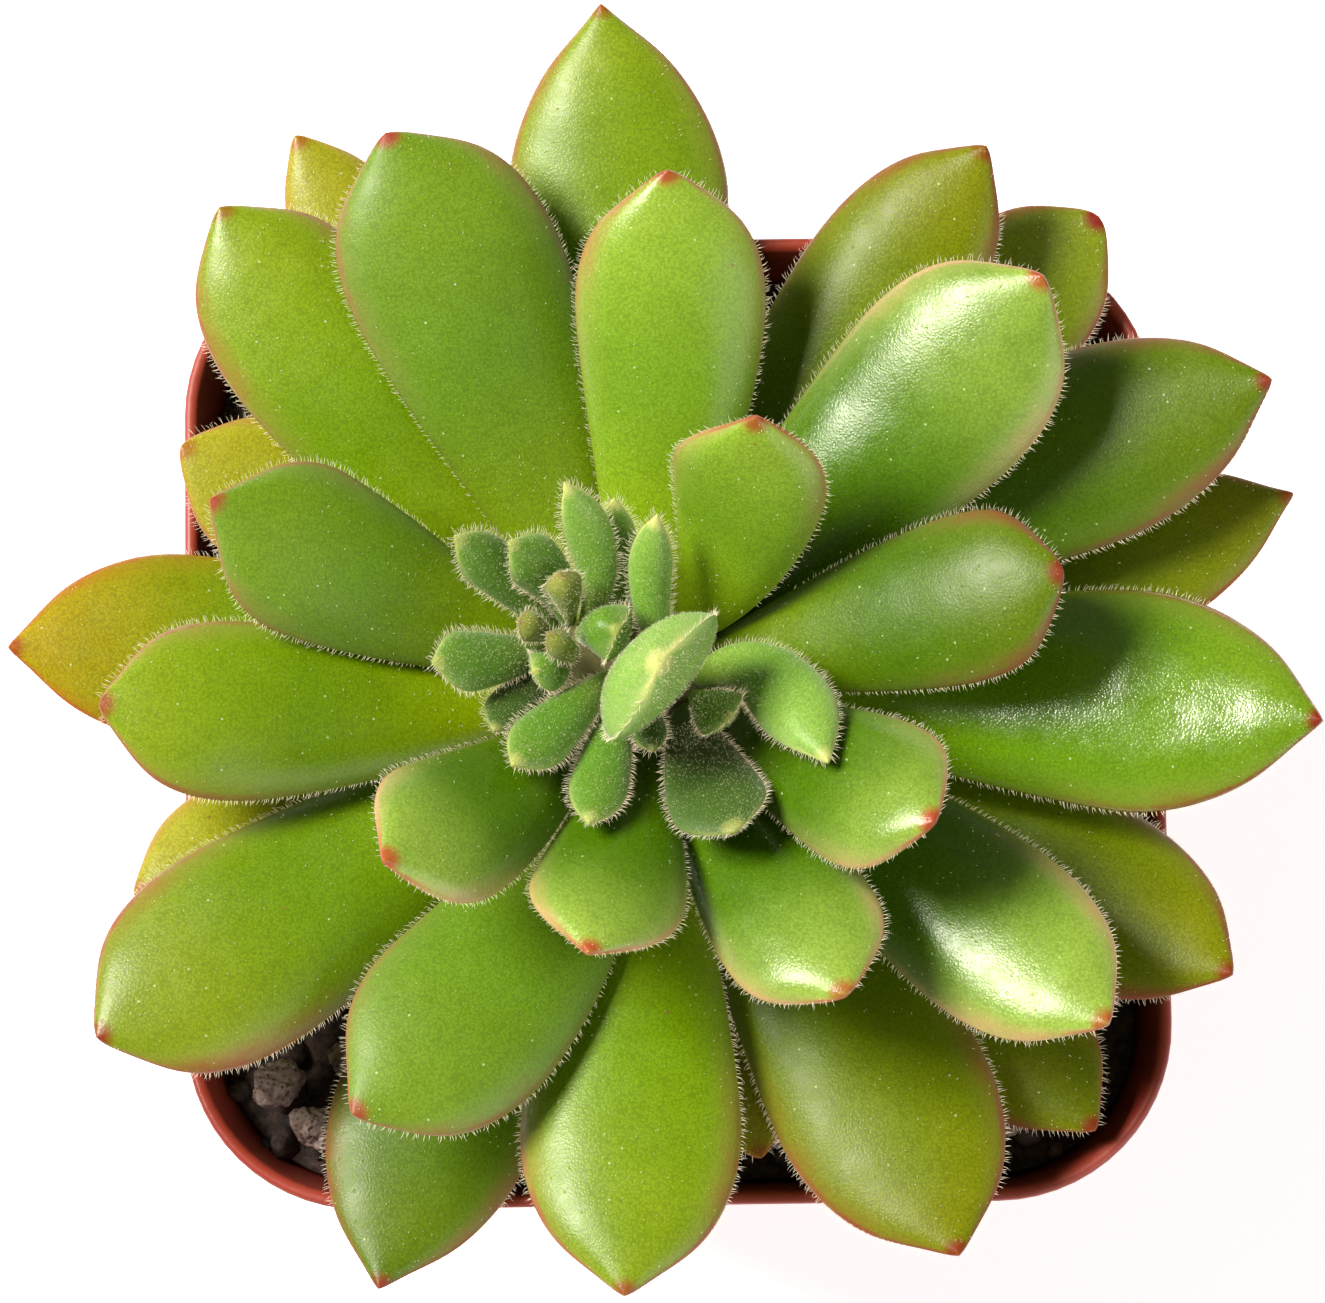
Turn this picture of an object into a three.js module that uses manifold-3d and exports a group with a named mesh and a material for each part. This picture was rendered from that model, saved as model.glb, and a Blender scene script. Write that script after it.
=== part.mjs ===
// Potted succulent: a fleshy-leaved rosette in a small square nursery pot.
// Millimetres, +Z up. The origin is the middle of the pot's underside.
// +Y is the side that the tallest outer leaf points to, +X lies to its right.

import * as THREE from 'three';
import { mergeVertices } from 'three/addons/utils/BufferGeometryUtils.js';
import Module from 'manifold-3d';

const wasm = await Module();
wasm.setup();

// ---------------------------------------------------------------- driving dimensions

// Gap between neighbours that touch in life.
const clearance = 0.3;

// Pot: a tapered rounded square shell with a plain rim.
const potTopWidth = 64;
const potBaseWidth = 42;
const potHeight = 58;
const potCornerRadius = 11.5;
const potBaseCornerRadius = 8;
const potWall = 0.9;
const rimHeight = 6;
const rimProjection = 0.25;
const potFloor = 1.4;
const edge = 0.2;
const drainRadius = 3;
const drainInset = 10;
const drainSides = 16;

// Soil: fills the pot to below the rim, with a low mound round the stem.
const soilDrop = 4.6;
const soilMound = 1.4;
const stemHoleDepth = 14;
const moundSteps = [0.35, 0.7, 1];

// Stones: their gap over the soil, and the reach of their places from the pot's wall.
const stoneGap = 0.3;
const stoneInset = 3;
const stoneSides = 8;
const stoneRings = 4;
const stoneLump = 0.13;

// Stem: short, with an oval crown that the leaves grow round.
const crownX = -3;
const crownY = 1.4;
const stemLong = 5.2;
const stemShort = 3.8;
const stemTurn = -20;
const stemDome = 1.2;
const stemAboveLeaves = 0.8;
const domeShare = 0.25;
const stemSides = 20;

// Leaves: every reach, width and height in the table is multiplied by this.
const leafScale = 1;
const leafGap = 0.35;

// Share of a leaf's greatest width that its foot keeps, and where the leaf is widest.
const footWidth = 0.28;
const widest = 0.69;

// How far the end of the foot hangs below the upper face, as a share of the thickness.
const footDrop = 0.175;

// ---------------------------------------------------------------- shared shapes

const degrees = Math.PI / 180;

// A closed body from a start point, rings of equal length, and an end point.
// Rings run anticlockwise as seen from the end point looking back to the start.
function loft(start, rings, end) {
  const count = rings[0].length;
  const points = [start, ...rings.flat(), end];
  const last = points.length - 1;
  const index = [];
  for (let i = 0; i < count; i++) {
    const j = (i + 1) % count;
    index.push(0, 1 + j, 1 + i);
    for (let r = 0; r + 1 < rings.length; r++) {
      const a = 1 + r * count;
      const b = a + count;
      index.push(a + i, a + j, b + j, a + i, b + j, b + i);
    }
    const top = 1 + (rings.length - 1) * count;
    index.push(last, top + i, top + j);
  }
  const geometry = new THREE.BufferGeometry();
  const numbers = points.flatMap((p) => [p.x, p.y, p.z]);
  geometry.setAttribute('position', new THREE.Float32BufferAttribute(numbers, 3));
  geometry.setIndex(index);
  return geometry;
}

// A rounded square outline at one height, anticlockwise from above.
const cornerSteps = 6;

function roundedSquare(width, radius, z) {
  const reach = width / 2 - radius;
  const ring = [];
  for (let corner = 0; corner < 4; corner++) {
    const middle = (corner * 90 + 45) * degrees;
    const cx = Math.sign(Math.cos(middle)) * reach;
    const cy = Math.sign(Math.sin(middle)) * reach;
    for (let step = 0; step <= cornerSteps; step++) {
      const angle = (corner * 90 + (90 * step) / cornerSteps) * degrees;
      ring.push(new THREE.Vector3(cx + radius * Math.cos(angle), cy + radius * Math.sin(angle), z));
    }
  }
  return ring;
}

// An oval outline round the crown axis, grown by a margin, anticlockwise from above.
function crownOval(margin, z, count) {
  const axis = new THREE.Vector3(0, 0, 1);
  const middle = new THREE.Vector3(crownX, crownY, 0);
  const ring = [];
  for (let i = 0; i < count; i++) {
    const angle = (i / count) * 2 * Math.PI;
    const x = (stemLong + margin) * Math.cos(angle);
    const y = (stemShort + margin) * Math.sin(angle);
    ring.push(new THREE.Vector3(x, y, z).applyAxisAngle(axis, stemTurn * degrees).add(middle));
  }
  return ring;
}

function toSolid(geometry) {
  return new wasm.Manifold(new wasm.Mesh({
    numProp: 3,
    vertProperties: new Float32Array(geometry.attributes.position.array),
    triVerts: new Uint32Array(geometry.index.array),
  }));
}

function toGeometry(solid) {
  const mesh = solid.getMesh();
  const geometry = new THREE.BufferGeometry();
  geometry.setAttribute('position', new THREE.Float32BufferAttribute(mesh.vertProperties, 3));
  geometry.setIndex([...mesh.triVerts]);
  return geometry;
}

// ---------------------------------------------------------------- pot

const soilZ = potHeight - soilDrop;

// Outer width and corner radius of the shell at a height.
function potWidthAt(z) {
  return potBaseWidth + ((potTopWidth - potBaseWidth) * z) / potHeight;
}

function potRadiusAt(z) {
  return potBaseCornerRadius + ((potCornerRadius - potBaseCornerRadius) * z) / potHeight;
}

function potRing(z, inset) {
  return roundedSquare(potWidthAt(z) - 2 * inset, potRadiusAt(z) - inset, z);
}

function makePot() {
  const rimStart = potHeight - rimHeight;
  const outside = [
    potRing(0, edge),
    potRing(edge, 0),
    potRing(rimStart - rimProjection, rimProjection),
    potRing(rimStart, 0),
    potRing(potHeight - edge, 0),
    potRing(potHeight, edge),
  ];
  const inside = [
    potRing(potHeight, potWall - edge),
    potRing(potHeight - edge, potWall),
    potRing(potFloor, potWall),
  ];
  const under = new THREE.Vector3(0, 0, 0);
  const floor = new THREE.Vector3(0, 0, potFloor);
  const drainPlace = potBaseWidth / 2 - drainInset;
  let pot = toSolid(loft(under, [...outside, ...inside], floor));
  for (const sx of [-1, 1]) {
    for (const sy of [-1, 1]) {
      const drill = new THREE.CylinderGeometry(drainRadius, drainRadius, 4 * potFloor, drainSides);
      drill.rotateX(Math.PI / 2);
      drill.translate(sx * drainPlace, sy * drainPlace, potFloor / 2);
      drill.deleteAttribute('normal');
      drill.deleteAttribute('uv');
      pot = pot.subtract(toSolid(mergeVertices(drill)));
    }
  }
  return toGeometry(pot);
}

// ---------------------------------------------------------------- the bed: what lies under a leaf

// A height map of everything placed so far. A leaf is laid on it with a gap.
const cell = 0.4;
const bedHalf = 60;
const across = Math.round((2 * bedHalf) / cell);
const nothingThere = -1000;
const smallestArea = 1e-9;
const edgeSlack = 0.01;
const bed = new Float32Array(across * across).fill(nothingThere);

// Calls visit(cellNumber, height, u) for every map cell under each triangle.
// u is the place along the leaf, given per vertex.
function rasterise(geometry, alongLeaf, visit) {
  const p = geometry.attributes.position;
  const index = geometry.index.array;
  for (let t = 0; t < index.length; t += 3) {
    const [a, b, c] = [index[t], index[t + 1], index[t + 2]];
    const [ax, ay, bx, by, cx, cy] = [p.getX(a), p.getY(a), p.getX(b), p.getY(b), p.getX(c), p.getY(c)];
    const area = (bx - ax) * (cy - ay) - (cx - ax) * (by - ay);
    if (Math.abs(area) < smallestArea) continue;
    const i0 = Math.ceil((Math.min(ax, bx, cx) + bedHalf) / cell);
    const i1 = Math.floor((Math.max(ax, bx, cx) + bedHalf) / cell);
    const j0 = Math.ceil((Math.min(ay, by, cy) + bedHalf) / cell);
    const j1 = Math.floor((Math.max(ay, by, cy) + bedHalf) / cell);
    for (let i = i0; i <= i1; i++) {
      for (let j = j0; j <= j1; j++) {
        const x = i * cell - bedHalf;
        const y = j * cell - bedHalf;
        const wb = ((x - ax) * (cy - ay) - (cx - ax) * (y - ay)) / area;
        const wc = ((bx - ax) * (y - ay) - (x - ax) * (by - ay)) / area;
        const wa = 1 - wb - wc;
        if (Math.min(wa, wb, wc) < -edgeSlack) continue;
        const z = wa * p.getZ(a) + wb * p.getZ(b) + wc * p.getZ(c);
        const u = alongLeaf ? wa * alongLeaf[a] + wb * alongLeaf[b] + wc * alongLeaf[c] : 0;
        visit(i * across + j, z, u);
      }
    }
  }
}

function addToBed(geometry) {
  rasterise(geometry, null, (place, z) => {
    bed[place] = Math.max(bed[place], z);
  });
}

// The height of the bed at a place, or of the highest cell round it.
function bedNear(place) {
  let high = bed[place];
  for (const step of [-1, 1, -across, across]) {
    high = Math.max(high, bed[place + step]);
  }
  return high;
}

// ---------------------------------------------------------------- leaves

// Places along a leaf, from its foot (0) to its tip (1), that carry a section.
const stations = [0.03, 0.2, 0.38, 0.56, 0.72, 0.86, 0.95];

// A section across a leaf: [share of half width, share of thickness].
// Two points on the upper face, one on each margin, three round the keeled underside.
const section = [[1, -0.42], [0.55, 0], [-0.55, 0], [-1, -0.42], [-0.66, -0.8], [0, -1], [0.66, -0.8]];

// Width along the leaf as a share of the greatest width. Blunt leaves end rounder.
function widthShare(u, blunt) {
  if (u < widest) {
    return footWidth + (1 - footWidth) * (1 - ((widest - u) / widest) ** 1.45);
  }
  const s = (u - widest) / (1 - widest);
  return (1 - s ** (1.9 + blunt)) ** (0.85 - 0.3 * blunt);
}

function thicknessShare(u, blunt) {
  return (0.22 + 0.78 * widthShare(u, blunt)) * (1 - 0.25 * u);
}

// Where the leaves stand: the oval crown, or one of its two young heads.
const heads = {
  crown: { x: crownX, y: crownY },
  left: { x: crownX - 3.6, y: crownY + 1.2, radius: 1.0 },
  middle: { x: crownX, y: crownY, radius: 1.2 },
  right: { x: crownX + 3.4, y: crownY - 1.6, radius: 1.0 },
};

// The foot of a leaf that leaves its head in a direction.
function footOf(leaf) {
  const head = heads[leaf.head];
  const angle = leaf.leaves * degrees;
  if (head.radius) {
    return new THREE.Vector2(head.x + head.radius * Math.cos(angle), head.y + head.radius * Math.sin(angle));
  }
  const local = angle - stemTurn * degrees;
  const oval = 1 / Math.hypot(Math.cos(local) / stemLong, Math.sin(local) / stemShort);
  const out = oval + clearance;
  return new THREE.Vector2(head.x + out * Math.cos(angle), head.y + out * Math.sin(angle));
}

// The leaf's body with its foot at a height and its tip raised above the foot.
function leafGeometry(leaf, base, rise) {
  const foot = footOf(leaf);
  const head = heads[leaf.head];
  const reach = leaf.reach * leafScale;
  const tip = new THREE.Vector2(
    head.x + reach * Math.cos(leaf.points * degrees),
    head.y + reach * Math.sin(leaf.points * degrees),
  );
  const kneeOut = foot.distanceTo(tip) / 2;
  const knee = new THREE.Vector2(
    foot.x + kneeOut * Math.cos(leaf.leaves * degrees),
    foot.y + kneeOut * Math.sin(leaf.leaves * degrees),
  );
  const plan = new THREE.QuadraticBezierCurve(foot, knee, tip);
  const place = (u) => {
    const p = plan.getPoint(u);
    return new THREE.Vector3(p.x, p.y, base + rise * u + leaf.lift * leafScale * u ** 4);
  };
  const rings = stations.map((u) => {
    const tangent = place(u + 0.01).sub(place(u - 0.01)).normalize();
    const heading = plan.getTangent(u);
    const left = new THREE.Vector3(-heading.y, heading.x, 0);
    const normal = new THREE.Vector3().crossVectors(tangent, left);
    const halfWidth = (leaf.width * leafScale * widthShare(u, leaf.blunt)) / 2;
    const thickness = leaf.thickness * leafScale * thicknessShare(u, leaf.blunt);
    return section.map(([side, height]) => place(u)
      .addScaledVector(left, side * halfWidth)
      .addScaledVector(normal, (height === 0 ? leaf.plump : height) * thickness));
  });
  const drop = new THREE.Vector3(0, 0, -footDrop * leaf.thickness * leafScale);
  return loft(place(0).add(drop), rings, place(1));
}

const alongLeaf = [0, ...stations.flatMap((u) => section.map(() => u)), 1];

// The part of a leaf, from its foot, that lifts the foot when it meets the bed.
const footEnd = 0.3;
const mostPasses = 12;
const closeEnough = 0.005;

// Lays a leaf on the bed: its foot, and then its tip, go up until it lies clear.
function layLeaf(leaf) {
  let base = potHeight + leaf.base * leafScale;
  let rise = leaf.rise * leafScale;
  for (let pass = 0; pass < mostPasses; pass++) {
    const geometry = leafGeometry(leaf, base, rise);
    let atFoot = 0;
    const lowest = new Map();
    rasterise(geometry, alongLeaf, (place, z, u) => {
      const known = lowest.get(place);
      if (!known || z < known.z) lowest.set(place, { z, u });
    });
    for (const [place, { z, u }] of lowest) {
      if (u < footEnd) atFoot = Math.max(atFoot, bedNear(place) + leafGap - z);
    }
    let atTip = 0;
    for (const [place, { z, u }] of lowest) {
      if (u >= footEnd) atTip = Math.max(atTip, (bedNear(place) + leafGap - z - atFoot) / u);
    }
    if (atFoot < closeEnough && atTip < closeEnough) break;
    base += atFoot;
    rise += atTip;
  }
  return { base, geometry: leafGeometry(leaf, base, rise) };
}

// The leaves from the lowest to the topmost. Directions are in degrees from +X, anticlockwise.
// leaves: direction at the foot. points: direction of the tip from the head. base: height of the
// foot above the rim. rise: how far the tip climbs straight. lift: how far it curls up or, below
// nought, bends down. blunt: roundness of the end. plump: how far the upper face swells.
const leafTable = [
  ['crown', 'low_1', 12, 15.5, 45, 11, 3.0, -2.5, 5, 0, 0, 0.12],
  ['crown', 'low_2', 47, 44.5, 43.8, 11.5, 3.0, -2.5, 5, 0, 1, 0.12],
  ['crown', 'low_3', 119, 120, 42.7, 8.5, 2.8, -2.5, 5.5, -0.5, 0.6, 0.12],
  ['crown', 'low_4', 148, 150.5, 33.2, 10.2, 2.8, -2.5, 5.5, -0.5, 0.7, 0.12],
  ['crown', 'low_5', 170, 176, 40, 12.2, 3.2, -2.5, 5.5, -0.5, 0.1, 0.12],
  ['crown', 'low_6', 200, 203, 34.5, 9, 3.0, -2.5, 5.5, -0.5, 0.5, 0.12],
  ['crown', 'low_7', 241, 247, 42, 13.2, 3.2, -2.5, 4.5, -0.5, 0.1, 0.12],
  ['crown', 'low_8', 284, 285, 31.5, 8, 2.8, -2.5, 3, 0, 0.6, 0.12],
  ['crown', 'low_9', 321, 315.5, 41.5, 11, 3.0, -2.5, 4, 0, 0.4, 0.12],
  ['crown', 'outer_5', 134, 130, 40.5, 12.6, 4.2, -1, 9.5, -2, 0.6, 0.12],
  ['crown', 'outer_3', 88, 91.5, 44.6, 14.4, 4.4, -1, 9, -1.5, 0, 0.12],
  ['crown', 'outer_2', 59, 55, 41.1, 11.3, 4.2, -1, 9.5, 0, 0.45, 0.12],
  ['crown', 'outer_1', 31, 23.5, 45.2, 12.8, 4.2, -1, 6.5, 1, 0.3, 0.12],
  ['crown', 'outer_12', 339, 332.5, 43, 12.1, 4.2, -1, 6, 1.5, 0.4, 0.12],
  ['crown', 'outer_13', 359, 354, 44, 14.4, 4.4, -1, 7, 1.5, 0.1, 0.12],
  ['crown', 'outer_11', 304, 298.5, 42.7, 14.2, 4.4, -1, 7, 0.5, 0.3, 0.12],
  ['crown', 'outer_10', 271, 269, 40, 14, 4.4, -1, 9, -1, 0.3, 0.12],
  ['crown', 'outer_8', 216, 214.5, 41, 13.8, 4.4, -1, 10, -2.5, 0.6, 0.12],
  ['crown', 'outer_9', 257, 238.5, 33.6, 13, 4.0, 0, 10, -2, 0.5, 0.12],
  ['crown', 'outer_7', 189, 184.5, 33.4, 11.6, 4.0, 0, 11.5, -2, 0.5, 0.12],
  ['crown', 'outer_4', 110, 113.5, 37.8, 14.2, 4.4, 0, 11, -1.5, 0.6, 0.12],
  ['crown', 'outer_6', 162, 159, 28, 11.2, 3.8, 1, 11, -1.5, 0.1, 0.12],
  ['crown', 'middle_4', 78, 84.5, 30.9, 12.2, 4.2, 1, 13, -0.5, 0.5, 0.12],
  ['crown', 'middle_2', 39, 41.3, 35.4, 13.6, 4.4, 1, 12, 0, 0.6, 0.12],
  ['crown', 'middle_8', 326, 321, 38.1, 11.8, 4.0, 0, 9, 1, 0.5, 0.12],
  ['crown', 'middle_1', 8, 8.5, 27.6, 10.8, 4.0, 2, 14, -2, 0.8, 0.12],
  ['crown', 'middle_7', 301, 300.5, 26, 10.4, 4.0, 2, 14, -1.5, 0.7, 0.12],
  ['crown', 'middle_9', 329, 327, 22.4, 10.2, 3.8, 3, 15, -1.5, 0.6, 0.12],
  ['crown', 'middle_6', 270, 262.5, 20, 9.8, 3.6, 3, 15, -1.5, 0.1, 0.12],
  ['crown', 'middle_5', 232, 223.5, 20.7, 10, 3.6, 3, 15, -1.5, 0.3, 0.12],
  ['crown', 'middle_3', 40, 58, 15.5, 9.9, 3.6, 4, 18, -1.5, 0.2, 0.12],
  ['right', 'inner_1', 280, 287, 10.9, 6.2, 2.4, 6, 8, 0, 0.3, 0],
  ['middle', 'inner_2', 258, 257.5, 11.6, 3.7, 1.8, 6, 7, 0, 0, 0.2],
  ['left', 'inner_12', 225, 232, 7.8, 3.2, 1.4, 6, 4, 0, 0, 0],
  ['middle', 'inner_3', 224, 226.5, 10.5, 3.8, 1.8, 6, 6, 0, 0, 0.3],
  ['left', 'inner_4', 196, 194, 8.8, 4, 1.6, 6, 6, 0, 0, 0.2],
  ['left', 'inner_5', 130, 140, 9.3, 3.4, 1.6, 6, 7, 0, 0, 0.2],
  ['middle', 'inner_14', 98, 94, 9.6, 2.8, 1.2, 6, 6, 0, 0, 0],
  ['left', 'inner_6', 50, 91, 8.8, 3, 1.4, 6, 8, 0, 0, 0.2],
  ['right', 'inner_7', 120, 98, 9.8, 2.8, 1.4, 6, 8, 0, 0, 0.4],
  ['left', 'inner_8', 95, 125, 6.4, 3.6, 1.6, 7, 6, 0, 0, 0.3],
  ['right', 'inner_9', 30, 325, 11.0, 5.0, 2.0, 8, 9, 0, 0.2, 0.3],
  ['middle', 'inner_13', 288, 284, 6.6, 2.2, 1.0, 6, 3, 0, 0, 0.3],
  ['right', 'inner_10', 315, 316, 4.2, 3.6, 1.2, 8, 1.5, 0, 0, 0.3],
  ['left', 'bud_1', 250, 228, 3.4, 2.8, 1.2, 7, 3, 0, 0, 0.8],
  ['left', 'bud_2', 165, 166, 3.2, 2, 1.0, 8, 3, 0, 0, 0.8],
  ['left', 'bud_5', 280, 200, 1.4, 1.8, 1.0, 8, 4, 0, 0, 0.8],
  ['left', 'bud_3', 90, 99, 3.3, 2.4, 1.2, 8, 4, 0, 0, 0.8],
  ['left', 'bud_4', 10, 355, 3.0, 3.8, 1.8, 8, 5, 0, 0.6, 0.9],
  ['middle', 'inner_11', 300, 309, 3.1, 10.2, 3.2, 8, 12, 0, 0, 0.6],
];

const columns = ['head', 'name', 'leaves', 'points', 'reach', 'width', 'thickness', 'base', 'rise', 'lift',
  'blunt', 'plump'];

// ---------------------------------------------------------------- colours

const terracotta = { color: 0x9c4a38, roughness: 0.45, metalness: 0 };
const earth = { color: 0x2a1c16, roughness: 1, metalness: 0 };
const bark = { color: 0x7a6a45, roughness: 0.8, metalness: 0 };
const pumice = { color: 0xa38d84, roughness: 0.95, metalness: 0 };
const leafGreen = { color: 0x6fa52c, roughness: 0.35, metalness: 0 };
const oldLeaf = { color: 0xb3ae35, roughness: 0.4, metalness: 0 };
const youngLeaf = { color: 0x6d9447, roughness: 0.5, metalness: 0 };

function finishOf(leaf) {
  if (leaf.head !== 'crown') return youngLeaf;
  return leaf.name.startsWith('low') ? oldLeaf : leafGreen;
}

const plant = new THREE.Group();

function addPiece(name, geometry, finish) {
  const mesh = new THREE.Mesh(geometry, new THREE.MeshStandardMaterial(finish));
  mesh.name = name;
  plant.add(mesh);
  addToBed(geometry);
}

// ---------------------------------------------------------------- assembly

addPiece('pot', makePot(), terracotta);

function makeSoil() {
  const count = roundedSquare(1, 0.1, 0).length;
  const low = potFloor + clearance;
  const side = potWall + clearance;
  const outline = potRing(soilZ, side);
  const hole = crownOval(clearance, 0, count);
  // The mound rises from the pot's wall to the stem.
  const inward = (share) => outline.map((p, i) => {
    const q = p.clone().lerp(hole[i], share);
    return q.setZ(soilZ + soilMound * Math.sin((share * Math.PI) / 2));
  });
  const rings = [
    potRing(low, side),
    outline,
    ...moundSteps.map(inward),
    hole.map((p) => p.clone().setZ(soilZ + soilMound - stemHoleDepth)),
  ];
  const bottom = new THREE.Vector3(0, 0, low);
  return loft(bottom, rings, new THREE.Vector3(crownX, crownY, soilZ + soilMound - stemHoleDepth));
}

addPiece('soil', makeSoil(), earth);

// ---------------------------------------------------------------- stones

// Loose stones on the soil: name, share of the way from the middle of the pot to its inner
// wall in x and in y, length, breadth, height, turn. They keep clear of the wall.
const stoneTable = [
  ['stone_1', -0.97, -0.87, 4.0, 3.4, 2.6, 20],
  ['stone_2', -0.87, -0.98, 4.2, 3.0, 2.4, -35],
  ['stone_3', -1.04, -0.80, 2.0, 1.8, 1.6, 0],
  ['stone_4', -0.8, -0.81, 3.0, 2.4, 2.0, 60],
  ['stone_5', 0.2, -1.02, 3.6, 2.2, 2.0, 10],
  ['stone_6', 1.02, -0.69, 3.0, 2.4, 2.0, 80],
  ['stone_7', 0.82, -0.95, 5.0, 4.0, 2.6, 35],
];

// A stone is a lumpy ball: rings of points from its lowest point to its highest.
function makeStone([, shareX, shareY, length, breadth, height, turn], number) {
  const inner = potWidthAt(soilZ) / 2 - potWall - clearance - stoneInset;
  const low = new THREE.Vector3(shareX * inner, shareY * inner, soilZ + soilMound + stoneGap);
  const axis = new THREE.Vector3(0, 0, 1);
  const rings = [];
  for (let r = 0; r < stoneRings; r++) {
    const polar = (Math.PI * (r + 1)) / (stoneRings + 1);
    const up = (height / 2) * (1 - Math.cos(polar));
    const ring = [];
    for (let i = 0; i < stoneSides; i++) {
      const angle = (i / stoneSides) * 2 * Math.PI;
      const lump = 1 + stoneLump * Math.sin(3.1 * i + 1.7 * r + 2.3 * number);
      const out = (Math.sin(polar) * lump) / 2;
      const p = new THREE.Vector3(length * out * Math.cos(angle), breadth * out * Math.sin(angle), up);
      ring.push(p.applyAxisAngle(axis, turn * degrees).add(low));
    }
    rings.push(ring);
  }
  return loft(low, rings, low.clone().setZ(low.z + height));
}

stoneTable.forEach((row, number) => addPiece(row[0], makeStone(row, number), pumice));

// ---------------------------------------------------------------- leaves and stem

const leaves = leafTable.map((row) => Object.fromEntries(columns.map((key, i) => [key, row[i]])));
const crownLeaves = leaves.filter(({ head }) => head === 'crown');
const headLeaves = leaves.filter(({ head }) => head !== 'crown');

// The height that the highest foot round the crown reaches.
let crownTop = 0;
for (const leaf of crownLeaves) {
  const { base, geometry } = layLeaf(leaf);
  addPiece(`leaf_${leaf.name}`, geometry, finishOf(leaf));
  crownTop = Math.max(crownTop, base);
}

function makeStem() {
  const foot = soilZ + soilMound - stemHoleDepth + clearance;
  const top = crownTop + stemAboveLeaves;
  const rings = [
    crownOval(0, foot, stemSides),
    crownOval(0, top - stemDome, stemSides),
    crownOval(-domeShare * stemShort, top - domeShare * stemDome, stemSides),
  ];
  return loft(new THREE.Vector3(crownX, crownY, foot), rings, new THREE.Vector3(crownX, crownY, top));
}

addPiece('stem', makeStem(), bark);

for (const leaf of headLeaves) {
  addPiece(`leaf_${leaf.name}`, layLeaf(leaf).geometry, finishOf(leaf));
}

export default plant;
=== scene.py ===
"""A potted succulent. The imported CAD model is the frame, and the looks are built round it."""

import math

import bmesh
import bpy
import numpy as np
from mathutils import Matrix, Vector, noise


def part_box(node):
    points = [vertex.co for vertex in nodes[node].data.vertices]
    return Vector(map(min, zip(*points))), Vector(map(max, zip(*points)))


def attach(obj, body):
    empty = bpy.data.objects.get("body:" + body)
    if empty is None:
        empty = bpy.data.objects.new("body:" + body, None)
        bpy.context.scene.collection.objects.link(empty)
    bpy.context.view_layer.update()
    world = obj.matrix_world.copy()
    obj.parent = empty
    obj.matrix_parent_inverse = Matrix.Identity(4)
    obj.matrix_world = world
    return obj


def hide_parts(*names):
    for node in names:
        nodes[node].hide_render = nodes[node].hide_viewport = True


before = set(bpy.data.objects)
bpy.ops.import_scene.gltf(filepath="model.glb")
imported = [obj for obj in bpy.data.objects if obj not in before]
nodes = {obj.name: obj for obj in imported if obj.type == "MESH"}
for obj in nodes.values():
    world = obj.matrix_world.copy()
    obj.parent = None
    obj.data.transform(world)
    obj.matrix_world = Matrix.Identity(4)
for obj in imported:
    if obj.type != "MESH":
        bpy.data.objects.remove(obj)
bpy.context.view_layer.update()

MM = 0.001
random = np.random.default_rng(20)

# ---------------------------------------------------------------- sizes (mm unless they say so)

pot_low, pot_high = [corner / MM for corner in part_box("pot")]
POT_HEIGHT = pot_high.z
POT_TOP_WIDTH = pot_high.x - pot_low.x
POT_BASE_WIDTH = 42.0
POT_CORNER_RADIUS = 11.5
POT_BASE_CORNER_RADIUS = 8.0
POT_WALL = 0.9
POT_FLOOR = 1.4
RIM_HEIGHT = 6.0
RIM_PROJECTION = 0.25
DRAIN_RADIUS = 3.0
DRAIN_INSET = 10.0

# The soil keeps this gap to the pot, and its middle stands this much higher than its edge.
SOIL_GAP = 0.3
SOIL_MOUND = 1.4
SOIL_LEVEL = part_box("soil")[1].z / MM - SOIL_MOUND

# Rings of points over the soil, and how far its bare surface lies under the CAD one.
SOIL_RINGS = 60
SOIL_SUNK = 0.35

# Crumbs: how many places are tried, how far they keep from the wall, the roundness of the corners
# of their field, and the middle part that the rosette hides and that stays bare.
CRUMB_TRIES = 900
CRUMB_MARGIN = 1.6
CRUMB_CORNER = 8.0
CRUMB_FREE = 11.0

# The size of the smallest crumbs, how much larger they get and how uneven they are.
CRUMB_SIZE = 0.35
CRUMB_GROWTH = 1.0
CRUMB_BUMPS = 0.35

# Leaf scars run round the stem this far apart.
SCAR_SPACING = 2.2

# How a leaf's width and thickness run along it, as in the CAD model: shares of its length, width
# and thickness. The wide station is the one its greatest width is worked out from.
STATIONS = (0.03, 0.2, 0.38, 0.56, 0.72, 0.86, 0.95)
WIDE_STATION = 3
SECTION_SIDES = 7
WIDEST = 0.69
FOOT_WIDTH = 0.28
FOOT_THICKNESS = 0.22
RISE_POWER = 1.45
MARGIN_DROP = 0.42

# How much more a leaf's face is crowned than its flat-sided CAD section, as a share of its thickness.
CROWNED = 0.05

# Points of a section closer in height than this are level with each other.
LEVEL = 0.002

# The width of a leaf whose tip and skin have their full detail. A narrower leaf has less of both.
FULL_WIDTH = 9.0

# Rows of points along a leaf and points round each row, for large and for small leaves.
GROWN_GRID = (64, 36)
YOUNG_GRID = (44, 28)

# The small hard point at the end of a leaf.
NUB_RADIUS = 0.36
NUB_LENGTH = 1.3

# How far back from the tip its colour can reach.
TIP_ZONE = 6.0

# How far from the tip the margins draw in towards the hard point, and how much.
SHOULDER = 2.2
DRAWN_IN = 0.3

# ---------------------------------------------------------------- meshes


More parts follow.
